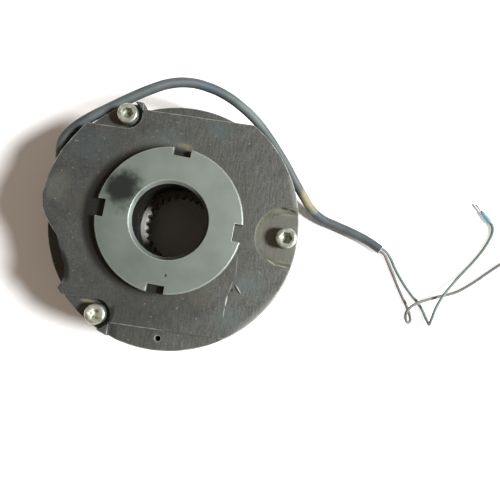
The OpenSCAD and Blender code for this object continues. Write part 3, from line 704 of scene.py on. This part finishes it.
# Cap screws
# Three zinc plated socket head cap screws clamp the magnet through the sleeve bolts to the flange.
# Their heads are knurled, and a hexagon socket is forged into the top.
low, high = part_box("cap_screws")
head_r = 5
head_h = 6
head_edge = 0.3
shank_r = 3
tip_chamfer = 0.6
crown = ((0, 0.9), (0.15, 0.55), (0.5, 0.15), (0.95, 0))  # in from the head's side and down from its top
socket_across = 5
socket_depth = 3
socket_lip_w = 0.2
socket_lip_h = 0.15
cone_rim_depth = 0.5
cone_depth = 0.8
knurl = 0.12
radius_slack = 0.01 * MM
tip = low.z / MM
top = high.z / MM
seat = top - head_h
socket_r = socket_across / 2 / math.cos(math.pi / 6)
socket_floor = top - socket_depth
cone_r = socket_r * 0.55
screws = turned([
    (0, tip), (shank_r - tip_chamfer, tip), (shank_r, tip + tip_chamfer), (shank_r, seat),
    (head_r - head_edge, seat), (head_r, seat + head_edge),
    *((head_r - inward, top - down) for inward, down in crown),
    (socket_r + socket_lip_w, top), (socket_r, top - socket_lip_h), (socket_r, socket_floor),
    (cone_r, socket_floor - cone_rim_depth), (0, socket_floor - cone_depth),
], round_steps)
for vert in screws.verts:
    column = round(math.atan2(vert.co.y, vert.co.x) / math.tau * round_steps)
    if abs(vert.co.xy.length - head_r * MM) < radius_slack and column % 2:
        set_radius(vert, (head_r - knurl) * MM)
    if abs(vert.co.xy.length - socket_r * MM) < radius_slack and vert.co.z > seat * MM:
        set_radius(vert, hexagon_radius(vert, socket_across))
in_socket = screws.faces.layers.float.new("recess")
for face in screws.faces:
    middle = face.calc_center_median()
    if middle.xy.length < socket_r * MM and seat * MM < middle.z < (top - socket_lip_h) * MM:
        face[in_socket] = 1
around_axis(screws)
dress(finished(screws, "socket_screws", "cap_screws"), zinc)

# Cable grommet
# A moulded rubber sleeve in the magnet's wall, under the nose, that guides the cable out.
# Its neck sits in the wall, and its ribbed tail lets the cable bend without a kink.
neck_l = 7
neck_r = 3.15
neck_end_r = 3.1
lip_t = 2
lip_r = 3.7
lip_edge_r = 3.5
lip_edge = 0.3
ribs = 5
rib_pitch = 1.5
rib_depth = 0.25
rib_taper = 0.08
groove_end = 0.4
rib_start = 0.6
rib_end = 1.3
sleeve_l = 10
tail_r = 2.65
tail_end_r = 2.5
tail_edge = 0.2
grommet_r = 58 * MM
grommet_angle = math.radians(170)
grommet_z = 43.9 * MM
grommet_heading = math.radians(98.5)
grommet_axis = Vector((math.cos(grommet_heading), math.sin(grommet_heading), 0))
grommet_at = Vector((grommet_r * math.cos(grommet_angle), grommet_r * math.sin(grommet_angle), grommet_z))

# Moulded rubber: black and matt, greyed a little by dust.
rubber = new_material("black_moulded_rubber")
place = add(rubber, "TexCoord").outputs["Object"]
dust = add(rubber, "TexNoise", {"Vector": place, "Scale": 1 / (1.5 * MM), "Detail": 4.0})
colour = add(rubber, "Mix", {
    0: dust.outputs["Fac"], 6: linear("#1c1c1c"), 7: linear("#363533"),
}, data_type="RGBA")
bump = add(rubber, "Bump", {"Height": dust.outputs["Fac"], "Strength": 0.2, "Distance": 0.1 * MM})
shader = add(rubber, "BsdfPrincipled", {
    "Base Color": colour.outputs[2], "Roughness": 0.7, "Normal": bump.outputs["Normal"],
})
add(rubber, "OutputMaterial", {"Surface": shader.outputs["BSDF"]})


def lay_along(shape, point, axis):
    """Moves a shape that was turned about Z to a point and lays it along an axis."""
    turn = Vector((0, 0, 1)).rotation_difference(axis).to_matrix().to_4x4()
    bmesh.ops.transform(shape, matrix=Matrix.Translation(point) @ turn, verts=shape.verts)


profile = [
    (0, -neck_l), (neck_end_r, -neck_l), (neck_r, -neck_l + lip_edge), (neck_r, 0), (lip_edge_r, 0),
    (lip_r, lip_edge), (lip_r, lip_t - lip_edge), (lip_edge_r, lip_t),
]
for k in range(ribs):
    z = lip_t + lip_edge + k * rib_pitch
    r = neck_r - rib_taper * k
    profile += [(r - rib_depth, z), (r - rib_depth, z + groove_end), (r, z + rib_start), (r, z + rib_end)]
profile += [(tail_r, sleeve_l - tail_edge), (tail_end_r, sleeve_l), (0, sleeve_l)]
grommet = turned(profile, steps=40)
lay_along(grommet, grommet_at, grommet_axis)
dress(finished(grommet, "cable_sleeve", "cable_grommet"), rubber)

# Cable
# A round two-core cable with a jacket of grey PVC. It comes out of the grommet under the nose, lies along
# the rim, falls to the bench and ends in a plain cut.
cable_d = 5 * MM
cable_exit = grommet_at + sleeve_l * MM * grommet_axis
cable_route = [
    (-59.9, 29.4, 43.9), (-59.2, 33.7, 43.8), (-56.8, 37.9, 43.6), (-53.1, 42.2, 43.3), (-47.1, 47.3, 43.1),
    (-38.8, 53.2, 43), (-30.2, 59.2, 42.8), (-21.3, 65.2, 42), (-12, 70.3, 40.5), (-2.5, 73, 38),
    (6, 73.25, 35), (15, 71.6, 32), (24, 68, 28.5), (32.3, 63.2, 25), (38.5, 58.2, 22), (45, 51.8, 19),
    (53.3, 42.8, 15), (59.5, 35.3, 11.5), (65.5, 28.5, 8), (71.2, 22.6, 5.2), (78, 18.4, 3.3),
    (86.8, 15.8, 2.6), (96, 13.2, 2.6), (105.2, 10, 2.6), (113.5, 5.9, 2.6),
]

# PVC jacket: matt grey and dirty, browned by old grease where it lies beside the flange, pale at the cut.
# It carries painted shade where it comes out under the nose.
pvc = new_material("grey_pvc_jacket")
place = add(pvc, "TexCoord").outputs["Object"]
dirt = add(pvc, "TexNoise", {"Vector": place, "Scale": 1 / (6 * MM), "Detail": 6.0})
colour = add(pvc, "Mix", {
    0: dirt.outputs["Fac"], 6: linear("#3b4142"), 7: linear("#586060"),
}, data_type="RGBA").outputs[2]
uneven = shaken(pvc, place, dirt, 3)
for at, size, turn, share, shown in (
    ((6, 73, 36), (9, 6, 9), -8, 0.6, "#3c4a56"), ((28.5, 64.5, 26.5), (14, 7, 9), -35, 0.4, "#737d7b"),
    ((67.3, 28, 8), (9, 5, 7), -48, 0.9, "#8f8460"), ((72.3, 22.5, 6), (3, 5, 6), -48, 0.7, "#7d8068"),
    ((76.5, 18, 4.5), (4, 5, 6), -40, 0.6, "#474d5a"), ((110, 7, 2.6), (12, 6, 6), -25, 0.6, "#393c44"),
    ((-57.5, 39.5, 40), (16, 8, 14), 57, 0.6, "#202526"),
):
    colour = stain(pvc, colour, mask(pvc, uneven, at, size, turn), share, shown)
cut_end = mask(pvc, place, (113.6, 5.9, 2.6), (0.8, 5, 5), -28, soft=0.3)
colour = stain(pvc, colour, cut_end, 0.9, "#b4babb")
bump = add(pvc, "Bump", {"Height": dirt.outputs["Fac"], "Strength": 0.2, "Distance": 0.1 * MM})
shader = add(pvc, "BsdfPrincipled", {
    "Base Color": colour, "Roughness": 0.62, "IOR": 1.53, "Normal": bump.outputs["Normal"],
})
add(pvc, "OutputMaterial", {"Surface": shader.outputs["BSDF"]})


def cord_curve(name, points, diameter):
    """A round cord on a smooth curve through points in metres."""
    data = bpy.data.curves.new(name, "CURVE")
    data.dimensions = "3D"
    data.bevel_depth = diameter / 2
    data.bevel_resolution = 5
    data.resolution_u = 8
    data.use_fill_caps = True
    spline = data.splines.new("BEZIER")
    spline.bezier_points.add(len(points) - 1)
    for knot, point in zip(spline.bezier_points, points):
        knot.co = point
        knot.handle_left_type = knot.handle_right_type = "AUTO"
    piece = bpy.data.objects.new(name, data)
    bpy.context.scene.collection.objects.link(piece)
    return piece


cable_points = [cable_exit] + [Vector(p) * MM for p in cable_route]
cable = cord_curve("cable", cable_points, cable_d)
cable.data.materials.append(pvc)
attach(cable, "stator")
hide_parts("cable_jacket")

# Wires and ferrules
# The two cores leave the cable's end, loop on the bench and end in crimped ferrules: a tinned copper tube
# with a blue plastic collar. Their insulation is soft PVC, on one core green and on the other brown.
wire_d = 1.7 * MM
wire_spacing = 1.9 * MM
wire_lead_out = 3 * MM
collar_depth = 4
collar_l = 7
collar_r = 1.35
collar_end_r = 1.05
collar_bore_r = 0.9
collar_edge = 0.2
collar_draft = 0.05
mouth_bevel = 0.1
mouth_flare = 0.3
cone_start = 3.2
cone_end = 4.4
ferrule_r = 0.6
ferrule_l = 6
ferrule_hole_r = 0.62
ferrule_edge = 0.1
straight_l = 0.5
crimps = 5
crimp_pitch = 0.9
crimp_w = 0.6
crimp_slope = 0.15
crimp_depth = 0.1
ferrule_headings = {"green": 135, "brown": 40}
wire_colours = {"green": ("#63736d", "#84928c"), "brown": ("#646260", "#858381")}
wire_routes = {
    "green": [
        (120.2, 2, 1.6), (123.2, -2.6, 0.95), (126.4, -7.2, 0.9), (130, -11.8, 0.9), (134.2, -16.4, 0.9),
        (138.6, -20.6, 0.9), (142.1, -24.6, 0.95), (144.4, -28.5, 1.15), (145.5, -31.1, 2.3),
        (145.4, -32.2, 4.8), (145, -31.1, 7.4), (145.4, -28.3, 8.5), (146.8, -23.4, 8), (149.3, -18.4, 6.4),
        (152.4, -13.6, 4.6), (156.2, -8.6, 2.8), (160.2, -3.4, 1.4), (164.2, 1.8, 0.95), (168, 7, 0.9),
        (171.2, 12, 0.9), (173.8, 16.8, 0.9), (175.8, 21.4, 0.9), (176.8, 25.6, 1), (176.2, 28.8, 1.3),
        (174.4, 31, 1.4),
    ],
    "brown": [
        (118.6, 0.2, 1.3), (121.2, -4.2, 0.95), (124.2, -9.4, 0.9), (127.4, -15, 0.9), (130.8, -20.4, 0.9),
        (133.6, -25, 1.1), (135, -29, 2.1), (134.8, -32, 4.1), (133, -32.8, 6.2), (131.2, -30.9, 7.8),
        (131, -27.4, 8.2), (133.2, -24, 7.4), (137.4, -21.2, 5.8), (142.4, -19, 4), (147.4, -17, 2.4),
        (152.2, -15.2, 1.2), (157, -13.4, 0.95), (161.6, -11, 0.9), (166, -7.8, 0.9), (170.6, -4, 0.9),
        (175, 0, 0.9), (179.6, 4.2, 0.9), (184, 8, 1.1), (187.4, 10.8, 1.4),
    ],
}

# Collar plastic: pale blue polypropylene, a little translucent.
collar_blue = new_material("blue_polypropylene")
place = add(collar_blue, "TexCoord").outputs["Object"]
haze = add(collar_blue, "TexNoise", {"Vector": place, "Scale": 1 / (1.2 * MM)})
colour = add(collar_blue, "Mix", {
    0: haze.outputs["Fac"], 6: linear("#6599ad"), 7: linear("#93c0cf"),
}, data_type="RGBA")
shader = add(collar_blue, "BsdfPrincipled", {
    "Base Color": colour.outputs[2], "Roughness": 0.4, "Subsurface Weight": 0.2,
    "Subsurface Scale": 0.5 * MM,
})
add(collar_blue, "OutputMaterial", {"Surface": shader.outputs["BSDF"]})

# Tinned copper: soft grey and slightly worn.
tin = new_material("tinned_copper")
place = add(tin, "TexCoord").outputs["Object"]
worn = add(tin, "TexNoise", {"Vector": place, "Scale": 1 / (0.8 * MM)})
colour = add(tin, "Mix", {
    0: worn.outputs["Fac"], 6: linear("#8f9192"), 7: linear("#c3c4c2"),
}, data_type="RGBA")
shader = add(tin, "BsdfPrincipled", {"Base Color": colour.outputs[2], "Metallic": 1.0, "Roughness": 0.35})
add(tin, "OutputMaterial", {"Surface": shader.outputs["BSDF"]})

cable_end = cable_points[-1]
cable_heading = (cable_points[-1] - cable_points[-2]).normalized()
cable_left = Vector((0, 0, 1)).cross(cable_heading).normalized()
for name, sideways in (("green", 1), ("brown", -1)):
    # PVC insulation: matt, its colour dulled by dust.
    insulation = new_material(name + "_pvc_insulation")
    place = add(insulation, "TexCoord").outputs["Object"]
    dust = add(insulation, "TexNoise", {"Vector": place, "Scale": 1 / (3 * MM), "Detail": 5.0})
    deep, pale = wire_colours[name]
    colour = add(insulation, "Mix", {
        0: dust.outputs["Fac"], 6: linear(deep), 7: linear(pale),
    }, data_type="RGBA")
    shader = add(insulation, "BsdfPrincipled", {
        "Base Color": colour.outputs[2], "Roughness": 0.75, "IOR": 1.53,
    })
    add(insulation, "OutputMaterial", {"Surface": shader.outputs["BSDF"]})

    heading = math.radians(ferrule_headings[name])
    axis = Vector((math.cos(heading), math.sin(heading), 0))
    start = cable_end + sideways * wire_spacing / 2 * cable_left
    route = [Vector(p) * MM for p in wire_routes[name]]
    mouth = route[-1]
    points = [start, start + wire_lead_out * cable_heading] + route + [mouth + collar_depth * MM * axis]
    wire = cord_curve("core_" + name, points, wire_d)
    wire.data.materials.append(insulation)
    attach(wire, "stator")
    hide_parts("wire_" + name)

    collar_shape = turned([
        (collar_bore_r, collar_depth), (collar_bore_r, mouth_flare), (collar_r - mouth_bevel, 0),
        (collar_r, collar_edge), (collar_r - collar_draft, cone_start), (collar_end_r, cone_end),
        (collar_end_r, collar_l - collar_edge), (collar_end_r - collar_edge, collar_l),
        (ferrule_hole_r, collar_l), (ferrule_hole_r, collar_depth), (collar_bore_r, collar_depth),
    ], steps=32)
    lay_along(collar_shape, mouth, axis)
    collar = finished(collar_shape, "collar_" + name, "ferrule_collar_" + name)
    dress(collar, collar_blue)

    profile = [(0, collar_depth), (ferrule_r, collar_depth), (ferrule_r, collar_l + straight_l)]
    for k in range(crimps):
        z = collar_l + crimp_pitch + k * crimp_pitch
        profile += [
            (ferrule_r, z), (ferrule_r - crimp_depth, z + crimp_slope),
            (ferrule_r - crimp_depth, z + crimp_w - crimp_slope), (ferrule_r, z + crimp_w),
        ]
    tube_end = collar_l + ferrule_l
    profile += [(ferrule_r, tube_end - ferrule_edge), (ferrule_r - ferrule_edge, tube_end), (0, tube_end)]
    tube_shape = turned(profile, steps=24)
    lay_along(tube_shape, mouth, axis)
    tube = finished(tube_shape, "tube_" + name, "ferrule_tube_" + name)
    dress(tube, tin)

# Bench and light
# A white bench top under a broad window on the right. Warm light from a wall on the left fills the shadows.
# The bench glows a little under the wires, which washes out their shadows.
glare_strength = 0.68

# Bench top: an even, matt white, with painted shade under the brake's bore.
bench_white = new_material("white_bench_top")
place = add(bench_white, "TexCoord").outputs["Object"]
tone = add(bench_white, "TexNoise", {"Vector": place, "Scale": 1 / (60 * MM)})
colour = add(bench_white, "Mix", {
    0: tone.outputs["Fac"], 6: linear("#f6f6f5"), 7: linear("#f9f9f8"),
}, data_type="RGBA").outputs[2]
bench_painted_shade = mask(bench_white, place, (0, 0, 0), (40, 40, 40), soft=0.4)
colour = stain(bench_white, colour, bench_painted_shade, 0.97, "#b8b8b0")
washed = mask(bench_white, place, (150, -8, 0), (66, 56, 40), soft=0.45)
glare = add(bench_white, "Math", {0: washed, 1: glare_strength}, operation="MULTIPLY")
shader = add(bench_white, "BsdfPrincipled", {
    "Base Color": colour, "Roughness": 0.8, "Emission Color": linear("#ffffff"),
    "Emission Strength": glare.outputs["Value"],
})
add(bench_white, "OutputMaterial", {"Surface": shader.outputs["BSDF"]})

bench_shape = bmesh.new()
bmesh.ops.create_grid(bench_shape, x_segments=1, y_segments=1, size=2.0)
bench_data = bpy.data.meshes.new("bench")
bench_shape.to_mesh(bench_data)
bench_shape.free()
bench_data.materials.append(bench_white)
bench = bpy.data.objects.new("bench", bench_data)
bpy.context.scene.collection.objects.link(bench)

window = bpy.data.lights.new("window", "SUN")
window.energy = 6.2
window.angle = math.radians(13)
window.color = (0.96, 0.98, 1.0)
window_from = Vector((0.729, 0.012, 0.684))
window_lamp = bpy.data.objects.new("window", window)
window_lamp.rotation_euler = window_from.to_track_quat("Z", "Y").to_euler()
bpy.context.scene.collection.objects.link(window_lamp)

room = bpy.data.worlds.new("room")
room.use_nodes = True
direction = add(room, "SeparateXYZ", {"Vector": add(room, "TexCoord").outputs["Generated"]})
to_window = add(room, "MapRange", {"Value": direction.outputs["X"], "From Min": -1.0})
glow = add(room, "Mix", {
    0: to_window.outputs["Result"], 6: linear("#f8cc9e"), 7: linear("#eceff2"),
}, data_type="RGBA")
fill = room.node_tree.nodes["Background"]
fill.inputs["Strength"].default_value = 0.335
room.node_tree.links.new(glow.outputs[2], fill.inputs["Color"])
bpy.context.scene.world = room
bpy.context.scene.view_settings.view_transform = "Standard"

# Camera
# A hand-held camera almost straight above the brake, as in the photograph.
# Its place, turn and focal length were fitted to points that can be told there.
focal_px = 512
frame_px = 500
camera_at = Vector((39.693, -23.462, 294.183)) * MM
view_right = Vector((0.9895, 0.1445, 0.0093))
view_up = Vector((-0.1448, 0.9875, 0.0623))
view_back = view_right.cross(view_up).normalized()
camera_data = bpy.data.cameras.new("camera")
camera_data.sensor_width = 36
camera_data.lens = camera_data.sensor_width * focal_px / frame_px
camera_data.clip_start = 0.01
camera = bpy.data.objects.new("camera", camera_data)
view_turn = Matrix((view_right, view_back.cross(view_right).normalized(), view_back)).transposed().to_4x4()
camera.matrix_world = Matrix.Translation(camera_at) @ view_turn
bpy.context.scene.collection.objects.link(camera)
bpy.context.scene.camera = camera
